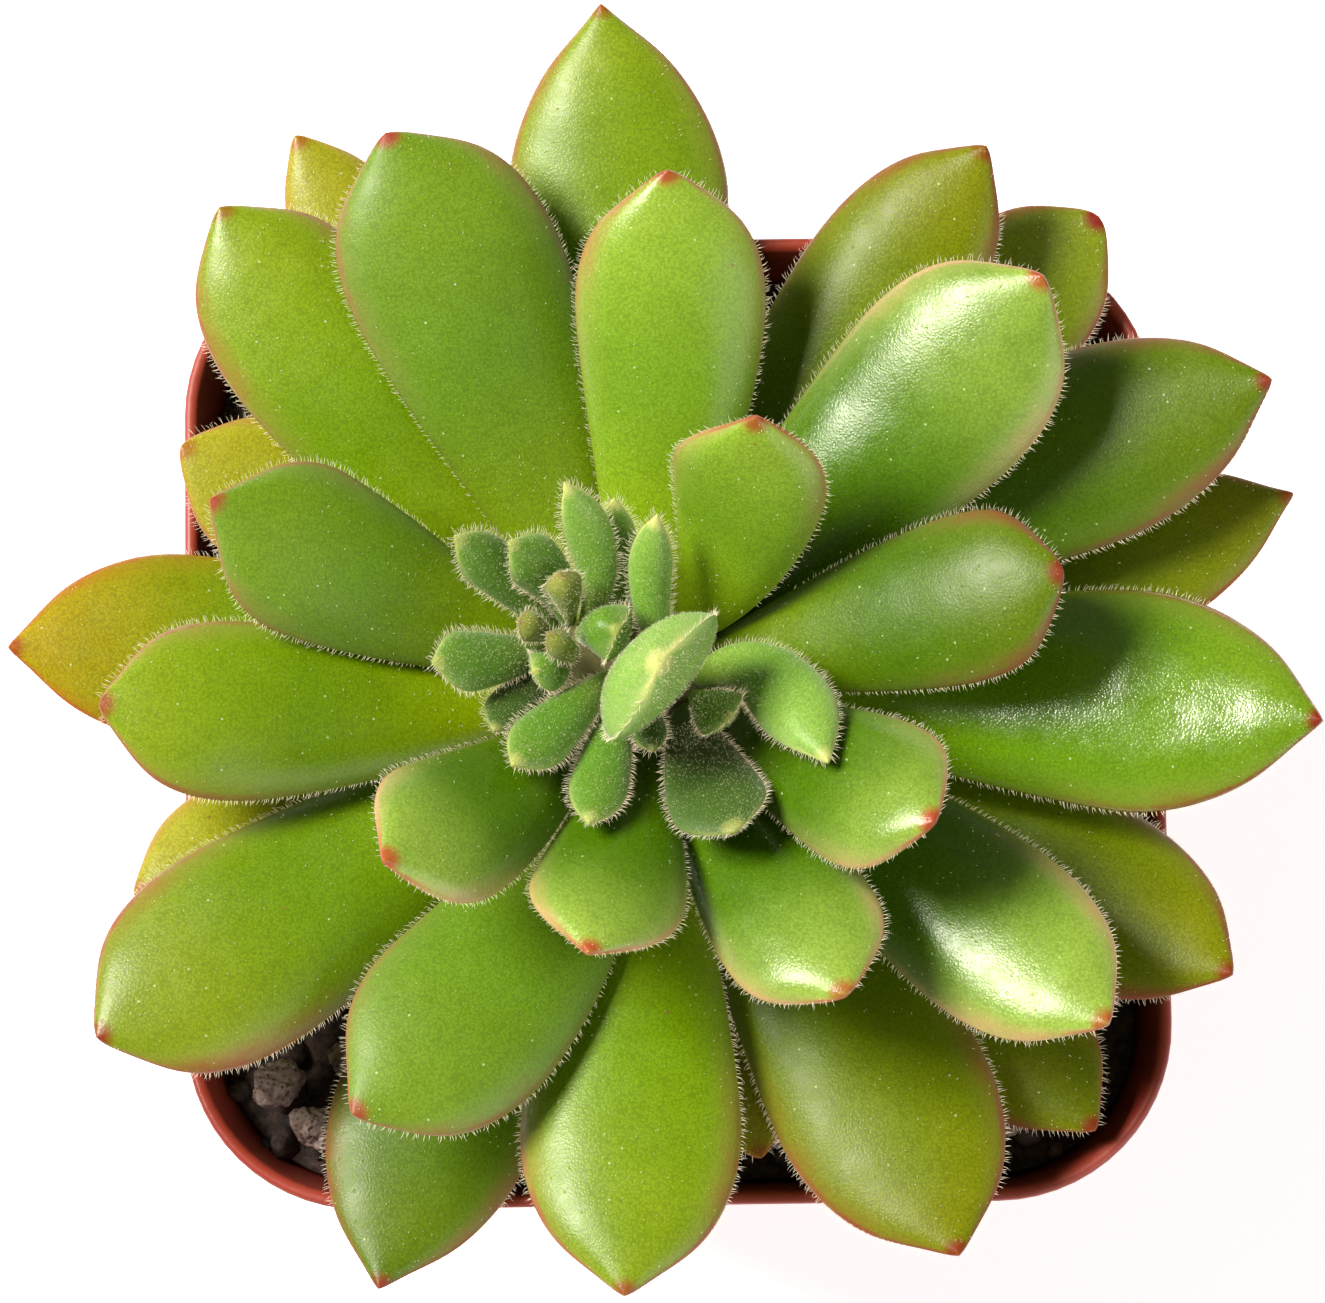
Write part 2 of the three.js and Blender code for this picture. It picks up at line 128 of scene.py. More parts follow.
def mesh_object(name, points, faces, material, attributes=None):
    """A smooth-shaded object from points in millimetres."""
    mesh = bpy.data.meshes.new(name)
    mesh.from_pydata((np.asarray(points) * MM).tolist(), [], faces)
    mesh.polygons.foreach_set("use_smooth", np.ones(len(mesh.polygons), bool))
    for key, values in (attributes or {}).items():
        layer = mesh.attributes.new(key, "FLOAT", "POINT")
        layer.data.foreach_set("value", np.asarray(values, np.float32).ravel())
    mesh.materials.append(material)
    mesh.update()
    made = bpy.data.objects.new(name, mesh)
    bpy.context.scene.collection.objects.link(made)
    return made


def settle(piece, slot, *replaced):
    """The piece rides on the plant and stands for the replaced CAD nodes, which are hidden. Its slot is
    not used.
    """
    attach(piece, "root")
    if replaced:
        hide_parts(*replaced)


def closed_loft(rings, count):
    """Faces round a first point, rings of points and a last point, anticlockwise seen from the last."""
    faces = [(0, 1 + (i + 1) % count, 1 + i) for i in range(count)]
    for r in range(rings - 1):
        for i in range(count):
            j = (i + 1) % count
            a = 1 + r * count
            b = a + count
            faces.append((a + i, a + j, b + j, b + i))
    top = 1 + (rings - 1) * count
    last = top + count
    faces += [(last, top + i, top + (i + 1) % count) for i in range(count)]
    return faces


def welded(node):
    """The CAD node's points in millimetres, with shared corners joined, and their neighbours."""
    work = bmesh.new()
    work.from_mesh(nodes[node].data)
    bmesh.ops.remove_doubles(work, verts=work.verts, dist=1e-6)
    work.verts.ensure_lookup_table()
    points = np.array([v.co[:] for v in work.verts]) / MM
    around = [[e.other_vert(v).index for e in v.link_edges] for v in work.verts]
    work.free()
    return points, around


# ---------------------------------------------------------------- leaf shapes


def width_share(u, blunt):
    """Width along a leaf as a share of its greatest width."""
    rising = FOOT_WIDTH + (1 - FOOT_WIDTH) * (1 - np.clip((WIDEST - u) / WIDEST, 0, 1) ** RISE_POWER)
    s = np.clip((u - WIDEST) / (1 - WIDEST), 0, 1)
    falling = (1 - s ** (1.9 + blunt)) ** (0.85 - 0.3 * blunt)
    return np.where(u < WIDEST, rising, falling)


def thickness_share(u, blunt):
    """Thickness along a leaf as a share of its greatest thickness."""
    return (FOOT_THICKNESS + (1 - FOOT_THICKNESS) * width_share(u, blunt)) * (1 - 0.25 * u)


def level_pair(ring):
    """The two points at one height that lie farthest apart: a section's margins."""
    pairs = [
        (np.linalg.norm(a - b), i, j)
        for i, a in enumerate(ring)
        for j, b in enumerate(ring[:i])
        if abs(a[2] - b[2]) < LEVEL
    ]
    _, i, j = max(pairs)
    return ring[i], ring[j]


def layers(around, foot, tip):
    """A solid's sections from the foot on: each holds the neighbours of the one before."""
    found = []
    seen = {foot}
    layer = [foot]
    while True:
        layer = [j for j in {j for i in layer for j in around[i]} if j not in seen]
        if tip in layer:
            return found
        seen.update(layer)
        found.append(layer)


def measured(ring):
    """A section's place, half width and thickness, and its face's height as a share of that."""
    left, right = level_pair(ring)
    across = left - right
    middle = (left + right) / 2
    keel = ring[np.argmin(np.abs((ring - middle) @ across))]
    reach = np.linalg.norm(middle - keel)
    normal = (middle - keel) / reach
    thick = reach / (1 - MARGIN_DROP)
    place = middle + normal * thick * MARGIN_DROP
    face = np.sort((ring - place) @ normal)[-2:].mean()
    return place, np.linalg.norm(across) / 2, thick, face / thick


class Leaf:
    """The course, width and thickness of one CAD leaf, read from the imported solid."""

    def __init__(self, node):
        points, around = welded(node)
        poles = [i for i, near in enumerate(around) if len(near) == SECTION_SIDES]
        foot, tip = sorted(poles, key=lambda i: points[i][2])
        sections = [measured(points[layer]) for layer in layers(around, foot, tip)]
        places, halves, depths, plumps = zip(*sections)
        us = np.array(STATIONS + (1.0,))
        course = np.array(places + (points[tip],))
        self.course = [np.polynomial.Polynomial.fit(us, course[:, axis], 4) for axis in range(3)]
        self.blunt = self.find_blunt(halves)
        wide = STATIONS[WIDE_STATION]
        self.width = 2 * halves[WIDE_STATION] / float(width_share(wide, self.blunt))
        self.thick = depths[WIDE_STATION] / float(thickness_share(wide, self.blunt))
        self.plump = max(0.0, float(np.median(plumps)))
        ends = self.at(np.array([0.0, 1.0]))
        self.length = float(np.linalg.norm(ends[1] - ends[0]))
        self.detail = min(1.0, self.width / FULL_WIDTH)

    def find_blunt(self, halves):
        """The bluntness for which the last section is as wide as the solid's."""
        wanted = halves[-1] / halves[WIDE_STATION]
        wide = STATIONS[WIDE_STATION]
        low, high = 0.0, 1.0
        for _ in range(20):
            blunt = (low + high) / 2
            if width_share(STATIONS[-1], blunt) / width_share(wide, blunt) < wanted:
                low = blunt
            else:
                high = blunt
        return blunt

    def at(self, u):
        """Places along the leaf's middle."""
        return np.stack([line(u) for line in self.course], -1)

    def axes(self, u):
        """Place, heading, leftward and upward directions along the leaf."""
        heading = np.stack([line.deriv()(u) for line in self.course], -1)
        heading /= np.linalg.norm(heading, axis=-1, keepdims=True)
        left = np.stack([-heading[..., 1], heading[..., 0], np.zeros_like(u)], -1)
        left /= np.linalg.norm(left, axis=-1, keepdims=True)
        return self.at(u), heading, left, np.cross(heading, left)

    def half_width(self, u):
        """Half the width, closing over the small hard point at the tip."""
        from_tip = (1 - u) * self.length
        hollow = 1 - DRAWN_IN * np.exp(-(from_tip / (SHOULDER * self.detail)) ** 2)
        own = self.width / 2 * width_share(u, self.blunt) * hollow
        return (own ** 3 + self.nub(u) ** 3) ** (1 / 3)

    def depth(self, u):
        """The thickness, thinner over the last part and closing over the hard point."""
        end = np.clip((u - 0.86) / 0.14, 0, 1)
        own = self.thick * thickness_share(u, self.blunt) * (1 - 0.5 * end ** 2)
        return (own ** 3 + (1.7 * self.nub(u)) ** 3) ** (1 / 3)

    def nub(self, u):
        """The radius of the hard point."""
        reach = NUB_LENGTH * self.detail
        along = np.clip((u - 1) * self.length / reach + 1, 0, 1)
        return NUB_RADIUS * self.detail * np.sqrt(1 - along ** 2) * np.clip(u / WIDEST, 0, 1)

    def surface(self, u, s, upper):
        """Points s of the way from the midline to a margin, with heading, leftward and upward."""
        place, heading, left, up = self.axes(u)
        edge = np.abs(s)
        crown = self.plump + CROWNED
        over = crown - (MARGIN_DROP + crown) * (1 - (1 - edge ** 2.2) ** 0.72)
        under = -MARGIN_DROP - (1 - MARGIN_DROP) * (1 - edge ** 1.9) ** 0.6
        height = np.where(upper, over, under)
        half = self.half_width(u)
        depth = self.depth(u)
        points = place + left * (s * half)[..., None] + up * (height * depth)[..., None]
        return points, heading, left, up


def wander(points, size, strength, seed):
    """Smooth uneven offsets for points, in millimetres."""
    shift = Vector((seed * 3.1, seed * 1.7, seed * 2.3))
    return np.array([noise.noise(Vector(p) / size + shift) for p in points]) * strength


def leaf_mesh(leaf, seed, grid):
    """Points, faces and paint values of a closed leaf, with its rows closer towards the tip."""
    rows, count = grid
    x = np.linspace(0, 1, rows)
    u = 0.01 + 0.99 * (1 - (1 - x) ** RISE_POWER)
    turn = np.arange(count) / count * 2 * np.pi
    s = np.cos(turn)
    upper = np.sin(turn) >= 0
    grid_u = np.repeat(u[:, None], count, 1)
    grid_s = np.repeat(s[None, :], rows, 0)
    points, _, _, up = leaf.surface(grid_u, grid_s, np.repeat(upper[None, :], rows, 0))
    flat = points.reshape(-1, 3)
    rough = wander(flat, 8.0, 0.2, seed) + wander(flat, 2.6, 0.05, seed + 5)
    flat = flat + up.reshape(-1, 3) * rough[:, None] * np.clip(leaf.width / 12, 0.3, 1)
    foot, tip = leaf.at(np.array([0.0, 1.0]))
    all_points = np.vstack([foot, flat, tip])
    along = np.concatenate([[0], grid_u.ravel(), [1]])
    edge = np.concatenate([[0], np.abs(grid_s).ravel(), [1]])
    side = np.concatenate([[0], np.repeat(np.where(upper, 1.0, 0.0)[None, :], rows, 0).ravel(), [1]])
    from_tip = np.linalg.norm(all_points - tip, axis=1)
    near_tip = np.clip(1 - from_tip / min(TIP_ZONE, leaf.length / 2), 0, 1)
    paint = {"along": along, "edge": edge, "upper": side, "near_tip": near_tip}
    return all_points, closed_loft(rows, count), paint


# ---------------------------------------------------------------- hairs


def hair_points(base, direction, length, radius, bend):
    """Thin closed cones: a ring in the skin, a ring half way, and a point."""
    direction = direction / np.linalg.norm(direction, axis=1, keepdims=True)
    helper = np.where(np.abs(direction[:, 2:3]) > 0.9, [[1.0, 0, 0]], [[0, 0, 1.0]])
    one = np.cross(direction, helper)
    one /= np.linalg.norm(one, axis=1, keepdims=True)
    two = np.cross(direction, one)
    rings = []
    for share, thick in ((-0.12, 1.0), (0.5, 0.6)):
        bent = bend * (length * max(share, 0) ** 2)[:, None]
        middle = base + direction * (length * share)[:, None] + bent
        for k in range(3):
            angle = 2 * math.pi * k / 3
            offset = one * math.cos(angle) + two * math.sin(angle)
            rings.append(middle + offset * (radius * thick)[:, None])
    rings.append(base + direction * length[:, None] + bend * length[:, None])
    return np.stack(rings, 1)


HAIR_POINTS = 7
HAIR_FACES = ((2, 1, 0), (0, 1, 4, 3), (1, 2, 5, 4), (2, 0, 3, 5), (3, 4, 6), (4, 5, 6), (5, 3, 6))


def hair_object(name, bundles, material, slot):
    """All the hairs of a circle of leaves, as one piece."""
    points = np.concatenate([hair_points(*bundle) for bundle in bundles])
    faces = []
    for k in range(len(points)):
        for face in HAIR_FACES:
            faces.append(tuple(HAIR_POINTS * k + i for i in face))
    settle(mesh_object(name, points.reshape(-1, 3), faces, material), slot)


def margin_hairs(leaf, spacing, length, start, radius):
    """Cilia along both margins, denser and longer towards the tip."""
    count = int(2 * leaf.length * (1 - start) / spacing)
    steps = (np.arange(count) + random.uniform(-1.5, 1.5, count)) / count
    u = start + (0.995 - start) * np.clip(steps, 0, 1) ** 0.85
    side = np.where(np.arange(count) % 2, -1.0, 1.0)
    base, heading, left, up = leaf.surface(u, side * 0.999, np.ones(count, bool))
    end = np.clip((u - 0.8) / 0.2, 0, 1)[:, None]
    lean = random.normal(0, 1, (count, 3))
    out = left * side[:, None] * (1 - 0.6 * end)
    direction = out + heading * (0.25 + 0.7 * end) + up * 0.3 + lean * 0.2
    long = length * (0.55 + 0.45 * np.clip((u - start) / 0.35, 0, 1)) * random.uniform(0.5, 1.15, count)
    return base, direction, long, np.full(count, radius), heading * 0.22 + lean * 0.08


def face_hairs(leaf, area, length, radius, above):
    """Short hairs scattered over a leaf, a share of them on the upper face."""
    count = int(leaf.length * leaf.width / area)
    u = random.uniform(0.15, 0.985, count)
    s = random.uniform(-0.93, 0.93, count)
    upper = random.random(count) < above
    base, heading, left, up = leaf.surface(u, s, upper)
    lean = random.normal(0, 1, (count, 3))
    out = up * np.where(upper, 1.0, -1.0)[:, None]
    direction = out + left * (0.8 * s ** 3)[:, None] + heading * 0.3 + lean * 0.3
    long = length * random.uniform(0.5, 1.2, count)
    return base, direction, long, np.full(count, radius), heading * 0.2 + lean * 0.1


# ---------------------------------------------------------------- material kit


def linear(text):
    """A colour from its hex form, as linear light."""
    parts = [int(text[i:i + 2], 16) / 255 for i in (0, 2, 4)]
    return [p / 12.92 if p <= 0.04045 else ((p + 0.055) / 1.055) ** 2.4 for p in parts] + [1.0]


class Shader:
    """Builds one material's node tree."""

    def __init__(self, name):
        self.material = bpy.data.materials.new(name)
        self.material.use_nodes = True
        self.tree = self.material.node_tree
        self.skin = self.tree.nodes["Principled BSDF"]
        self.coordinates = self.tree.nodes.new("ShaderNodeTexCoord").outputs["Object"]

    def feed(self, socket, value):
        """Links another node's output to the socket, or sets its number or colour."""
        if isinstance(value, bpy.types.NodeSocket):
            self.tree.links.new(value, socket)
        else:
            socket.default_value = value

    def node(self, kind, inputs=None, **settings):
        made = self.tree.nodes.new(kind)
        for key, value in settings.items():
            setattr(made, key, value)
        for key, value in (inputs or {}).items():
            self.feed(made.inputs[key], value)
        return made

    def attribute(self, name):
        return self.node("ShaderNodeAttribute", attribute_name=name).outputs["Fac"]

    def noise(self, size_mm, detail=2.0, rough=0.5):
        return self.node("ShaderNodeTexNoise", {
            "Vector": self.coordinates, "Scale": 1 / (size_mm * MM),
            "Detail": detail, "Roughness": rough}).outputs["Fac"]

    def cells(self, size_mm):
        return self.node("ShaderNodeTexVoronoi", {
            "Vector": self.coordinates, "Scale": 1 / (size_mm * MM)})

    def ramp(self, value, low, high, start=0.0, end=1.0, kind="SMOOTHSTEP"):
        """From start to end as the value goes from low to high."""
        return self.node("ShaderNodeMapRange", {
            "Value": value, "From Min": low, "From Max": high, "To Min": start, "To Max": end},
            interpolation_type=kind).outputs["Result"]

    def maths(self, operation, a, b):
        return self.node("ShaderNodeMath", {0: a, 1: b}, operation=operation).outputs[0]

    def times(self, a, b):
        return self.maths("MULTIPLY", a, b)

    def mix(self, share, a, b, blend="MIX"):
        made = self.node("ShaderNodeMix", {0: share, 6: a, 7: b}, data_type="RGBA", blend_type=blend)
        return made.outputs[2]

    def scattered(self, cells, radius, soft, channel, share):
        """Round spots at the middle of a share of the cells, drawn by one channel of their colour."""
        spot = self.ramp(cells.outputs["Distance"], radius, soft, 1.0, 0.0)
        draw = self.node("ShaderNodeSeparateColor", {0: cells.outputs["Color"]}).outputs[channel]
        return self.times(spot, self.ramp(draw, 1 - share, 1.02 - share))

    def bump(self, height, depth_mm, strength, over=None):
        inputs = {"Height": height, "Distance": depth_mm * MM, "Strength": strength}
        if over is not None:
            inputs["Normal"] = over
        return self.node("ShaderNodeBump", inputs).outputs["Normal"]

    def set(self, **values):
        """Feeds the skin's own sockets."""
        for key, value in values.items():
            self.feed(self.skin.inputs[key.replace("_", " ")], value)


# ---------------------------------------------------------------- leaf materials

# foot: where the leaf grows out. blade: its broad part. end: its outer part. flush: how much of
# the end colour shows. bloom: the pale film near the margins and underneath. rim: the line along
# the margins. rimmed: how much of it shows. point: the hard tip and what is near it. pointed: how
# much of that shows. gloss: the skin's roughness. ior: how strongly it mirrors.
FINISHES = {
    "fresh": dict(foot="7a9000", blade="648400", end="8c961e", flush=0.5, bloom="98a044",
                  rim="905030", rimmed=1.0, point="88261a", pointed=0.8, gloss=0.34, ior=1.4),
    # A darker copy of the fresh colours: painted shade, for leaves that lie in shade.
    "painted_shade_green": dict(foot="607800", blade="446400", end="647008", flush=0.5, bloom="6c802c",
                 rim="7c4428", rimmed=1.0, point="7c2016", pointed=0.9, gloss=0.38, ior=1.35),
    "cool": dict(foot="708800", blade="5a7c0e", end="7c901c", flush=0.4, bloom="78984c",
                 rim="90583c", rimmed=0.8, point="902c24", pointed=0.9, gloss=0.42, ior=1.38),
    # Darker foot and blade with pale ends: painted shade over the foot and blade, painted light on the
    # ends.
    "lit": dict(foot="4c6800", blade="466a04", end="90aa40", flush=0.9, bloom="a0b064",
                rim="c08868", rimmed=0.7, point="a02c20", pointed=0.9, gloss=0.27, ior=1.42),
    "glossy": dict(foot="648400", blade="588000", end="7c9420", flush=0.5, bloom="8c9c40",
                   rim="843c24", rimmed=0.9, point="7c1810", pointed=1.0, gloss=0.19, ior=1.6),
    "blushed": dict(foot="6c8800", blade="5c7c00", end="848a18", flush=0.7, bloom="909040",
                    rim="8c4028", rimmed=1.0, point="7c1c12", pointed=1.0, gloss=0.35, ior=1.42),
    "orange": dict(foot="708400", blade="648000", end="988400", flush=1.0, bloom="a08820",
                   rim="9c4014", rimmed=0.9, point="8c2410", pointed=1.0, gloss=0.35, ior=1.4),
    "yellow": dict(foot="788800", blade="848c00", end="9c9420", flush=0.8, bloom="aca448",
                   rim="9c5c30", rimmed=0.8, point="94401c", pointed=0.8, gloss=0.36, ior=1.4),
    # A lighter copy of the fresh colours: painted light.
    "painted_light_green": dict(foot="809c08", blade="70941c", end="94a838", flush=0.5, bloom="a8b45c",
                   rim="a05c44", rimmed=0.8, point="94281c", pointed=0.9, gloss=0.3, ior=1.42),
    "olive": dict(foot="647800", blade="607600", end="747408", flush=0.8, bloom="7c7c30",
                  rim="803c24", rimmed=1.0, point="7c2014", pointed=0.9, gloss=0.36, ior=1.28),
    "grey": dict(foot="5c7818", blade="548018", end="6c8c2c", flush=0.5, bloom="88a45c",
                 rim="8ca058", rimmed=0.3, point="b8b868", pointed=0.7, gloss=0.42, ior=1.4),
    # A darker copy of the grey colours: painted shade, for young leaves that lie in shade.
    "painted_shade_grey": dict(foot="384c10", blade="3a5614", end="486420", flush=0.5, bloom="5c7840",
                 rim="7c8c50", rimmed=0.3, point="a0a458", pointed=0.7, gloss=0.45, ior=1.38),
    # A lighter copy of the grey colours: painted light.
    "pale": dict(foot="74942c", blade="709c30", end="90ac4c", flush=0.5, bloom="98b06c",
                 rim="a0b068", rimmed=0.3, point="ccc878", pointed=0.8, gloss=0.42, ior=1.4),
    "tan": dict(foot="808030", blade="7c8834", end="90903a", flush=0.9, bloom="8c9454",
                rim="8c8450", rimmed=0.3, point="84603a", pointed=0.6, gloss=0.45, ior=1.4),
}

# The finishes with a velvety sheen.
HAIRY = ("grey", "painted_shade_grey", "pale", "tan")


def leaf_material(name):
    look = FINISHES[name]
    hairy = name in HAIRY
    shader = Shader("leaf_" + name)
    along = shader.attribute("along")
    edge = shader.attribute("edge")
    near_tip = shader.attribute("near_tip")
    patches = shader.noise(9.0, 3.0)
    mottle = shader.noise(1.6, 3.0, 0.6)

    colour = shader.mix(shader.ramp(along, 0.1, 0.55), linear(look["foot"]), linear(look["blade"]))
    out = shader.ramp(along, 0.5, 1.0)
    flushed = shader.times(shader.times(out, look["flush"]), shader.ramp(patches, 0.25, 0.6, 0.5, 1.0))
    colour = shader.mix(flushed, colour, linear(look["end"]))

    # Fine rows of swollen cells give the skin its grain.
    grain = shader.cells(0.18).outputs["Distance"]
    light = shader.ramp(grain, 0.1, 0.75, 1.18, 0.82, "LINEAR")
    light = shader.times(light, shader.ramp(mottle, 0.3, 0.7, 0.97, 1.03, "LINEAR"))
    light = shader.times(light, shader.ramp(patches, 0.3, 0.7, 0.94, 1.07, "LINEAR"))
    tone = shader.node("ShaderNodeCombineColor", {0: light, 1: light, 2: light}).outputs[0]
    colour = shader.mix(1.0, colour, tone, "MULTIPLY")

    # Pale dots and a few brown specks.
    dots = shader.scattered(shader.cells(1.1), 0.05, 0.09, 0, 0.5)
    colour = shader.mix(shader.times(dots, 0.55), colour, linear("c8d8a0"))
    specks = shader.scattered(shader.cells(3.4), 0.035, 0.06, 1, 0.3)
    colour = shader.mix(shader.times(specks, 0.7), colour, linear("7a5a28"))

    # A pale bloom near the margins and over the underside.
    bloom = shader.times(shader.ramp(edge, 0.6, 1.0), shader.ramp(along, 0.3, 0.8))
    below = shader.maths("SUBTRACT", 1.0, shader.attribute("upper"))
    below = shader.times(below, 0.15 if hairy else 0.45)
    bloom = shader.maths("MAXIMUM", shader.times(bloom, 0.3), below)
    colour = shader.mix(bloom, colour, linear(look["bloom"]))

    # The margin line, stronger towards the tip, and the coloured point.
    wide = shader.times(shader.ramp(edge, 0.72, 0.97), shader.ramp(patches, 0.4, 0.65, 0.15, 0.85))
    line = shader.maths("MAXIMUM", shader.ramp(edge, 0.9, 0.985), wide)
    line = shader.times(line, shader.ramp(along, 0.45, 0.9, 0.1, 1.0))
    line = shader.times(line, shader.ramp(mottle, 0.3, 0.6, 0.6, 1.0))
    colour = shader.mix(shader.times(line, look["rimmed"]), colour, linear(look["rim"]))
    creeping = shader.times(shader.ramp(near_tip, 0.3, 0.85), shader.ramp(edge, 0.85, 0.98))
    tinted = shader.maths("MAXIMUM", shader.ramp(near_tip, 0.76, 0.92), shader.times(creeping, 0.8))
    tinted = shader.times(tinted, look["pointed"])
    tinted = shader.times(tinted, shader.ramp(mottle, 0.25, 0.6, 0.6, 1.0))
    colour = shader.mix(tinted, colour, linear(look["point"]))

    gloss = shader.ramp(mottle, 0.3, 0.7, look["gloss"] - 0.03, look["gloss"] + 0.06)

    # Swollen cells, shallow waves and scattered pits.
    skin = shader.bump(shader.ramp(grain, 0.0, 0.7, 1.0, 0.0), 0.012, 0.6)
    skin = shader.bump(mottle, 0.05, 0.6, skin)
    pits = shader.ramp(shader.cells(0.75).outputs["Distance"], 0.05, 0.16)
    skin = shader.bump(pits, 0.02, 0.7, skin)
    shader.set(Base_Color=colour, Roughness=gloss, Normal=skin, IOR=look["ior"],
               Specular_Tint=(1.0, 1.0, 0.88, 1.0),
               Subsurface_Weight=0.22, Subsurface_Radius=(1.0, 0.9, 0.25), Subsurface_Scale=1.6 * MM,
               Sheen_Weight=0.25 if hairy else 0.0, Sheen_Roughness=0.45,
               Sheen_Tint=(0.9, 1.0, 0.8, 1.0))
    return shader.material


def hair_material():
    shader = Shader("pale_hairs")
    colour = shader.mix(shader.noise(3.0), linear("f6ecc8"), linear("e2c898"))
    # The hairs glow a little: painted light, standing in for light shining through them.
    shader.set(Base_Color=colour, Roughness=0.35, Subsurface_Weight=0.4,
               Subsurface_Radius=(1.0, 1.0, 0.8), Subsurface_Scale=0.3 * MM,
               Emission_Color=colour, Emission_Strength=0.45)
    return shader.material


# ---------------------------------------------------------------- leaves

# The usual finish of each circle of leaves.
USUAL = {"low": "olive", "outer": "fresh", "middle": "lit", "inner": "grey", "bud": "grey"}

# The leaves whose finish is another one.
FINISH_OF = {
    "low_2": "blushed", "low_3": "yellow", "low_4": "yellow", "low_5": "orange", "low_6": "yellow",
    "low_7": "painted_shade_green", "low_8": "yellow", "outer_1": "painted_shade_green", "outer_2": "olive", "outer_4": "cool",
    "outer_6": "cool", "outer_8": "blushed", "outer_9": "cool", "outer_11": "olive",
    "outer_12": "olive", "outer_13": "glossy", "middle_1": "painted_shade_green", "middle_3": "painted_light_green",
    "middle_4": "painted_light_green", "inner_1": "painted_shade_grey", "inner_6": "pale", "inner_7": "pale",
    "inner_9": "pale", "inner_10": "pale", "inner_11": "pale", "inner_12": "painted_shade_grey",
    "inner_13": "painted_shade_grey", "inner_14": "pale", "bud_2": "tan", "bud_3": "tan", "bud_5": "tan",
}

# The circles of small leaves, which wear more hairs.
YOUNG = ("inner", "bud")

SLOTS = {
    "low": "leaf_old", "outer": "leaf_green", "middle": "leaf_green",
    "inner": "leaf_young", "bud": "leaf_young",
}

# Hairs, grown and young: how far apart those of the margins stand, their length, where along the
# leaf they start and their radius; then the area for each hair of the faces, the length, the
# radius and the share of them on the upper face.
GROWN_MARGIN = dict(spacing=0.17, length=0.48, start=0.25, radius=0.02)
GROWN_FACE = dict(area=3.0, length=0.14, radius=0.026, above=1.0)
YOUNG_MARGIN = dict(spacing=0.1, length=0.58, start=0.05, radius=0.02)
YOUNG_FACE = dict(area=0.035, length=0.15, radius=0.011, above=0.65)


def make_leaves():
    materials = {name: leaf_material(name) for name in FINISHES}
    hairs = {circle: [] for circle in SLOTS}
    leaf_nodes = sorted(name for name in nodes if name.startswith("leaf_"))
    for seed, node in enumerate(leaf_nodes):
        name = node[len("leaf_"):]
        circle = name.split("_")[0]
        leaf = Leaf(node)
        young = circle in YOUNG
        points, faces, paint = leaf_mesh(leaf, seed, YOUNG_GRID if young else GROWN_GRID)
        material = materials[FINISH_OF.get(name, USUAL[circle])]
        piece = mesh_object("fleshy_" + name, points, faces, material, paint)
        settle(piece, SLOTS[circle], node)
        hairs[circle].append(margin_hairs(leaf, **(YOUNG_MARGIN if young else GROWN_MARGIN)))
        hairs[circle].append(face_hairs(leaf, **(YOUNG_FACE if young else GROWN_FACE)))
    material = hair_material()
    for circle, bundles in hairs.items():
        hair_object("hairs_" + circle, bundles, material, SLOTS[circle])


# ---------------------------------------------------------------- pot


def rounded_square(width, radius, z, steps=14):
    """An outline anticlockwise from above."""
    reach = width / 2 - radius
    points = []
    for corner in range(4):
        middle = math.radians(corner * 90 + 45)
        cx = math.copysign(reach, math.cos(middle))
        cy = math.copysign(reach, math.sin(middle))
        for step in range(steps + 1):
            angle = math.radians(corner * 90 + 90 * step / steps)
            points.append((cx + radius * math.cos(angle), cy + radius * math.sin(angle), z))
    return points


def pot_ring(z, inset):
    """The pot's outline at a height, moved inwards by the inset."""
    share = z / POT_HEIGHT
    width = POT_BASE_WIDTH + (POT_TOP_WIDTH - POT_BASE_WIDTH) * share
    radius = POT_BASE_CORNER_RADIUS + (POT_CORNER_RADIUS - POT_BASE_CORNER_RADIUS) * share
    return rounded_square(width - 2 * inset, radius - inset, z)


def make_pot(material):
    """The shell: outside from the foot to the rim, over the round lip, and down the inside."""
    rounded_foot = ((0, 0.9), (0, 0.5), (0.12, 0.22), (0.4, 0.06), (0.9, 0))
    rings = [pot_ring(z, inset) for z, inset in rounded_foot]

    # The wall draws back a little on its way up, and the rim band stands out from it.
    rim_start = POT_HEIGHT - RIM_HEIGHT
    for z in np.linspace(3, rim_start - 1.2, 12):
        rings.append(pot_ring(z, RIM_PROJECTION * z / rim_start))
    for rise, share in ((-0.5, 1), (-0.2, 0.9), (-0.05, 0.3), (0.15, 0), (2.5, 0)):
        rings.append(pot_ring(rim_start + rise, RIM_PROJECTION * share))
    rings.append(pot_ring(POT_HEIGHT - 0.9, 0))
    lip = POT_WALL / 2
    for angle in np.linspace(0, math.pi, 9):
        rings.append(pot_ring(POT_HEIGHT - lip + lip * math.sin(angle), lip - lip * math.cos(angle)))
    inside = (POT_HEIGHT - 1.6, POT_HEIGHT - 4, 40, 26, 12, POT_FLOOR + 0.8, POT_FLOOR + 0.25, POT_FLOOR)
    rings += [pot_ring(z, POT_WALL) for z in inside]
    points = [(0, 0, 0)] + [p for ring in rings for p in ring] + [(0, 0, POT_FLOOR)]
    pot = mesh_object("thin_pot", points, closed_loft(len(rings), len(rings[0])), material)
    drill_drains(pot)
    settle(pot, "pot_plastic", "pot")


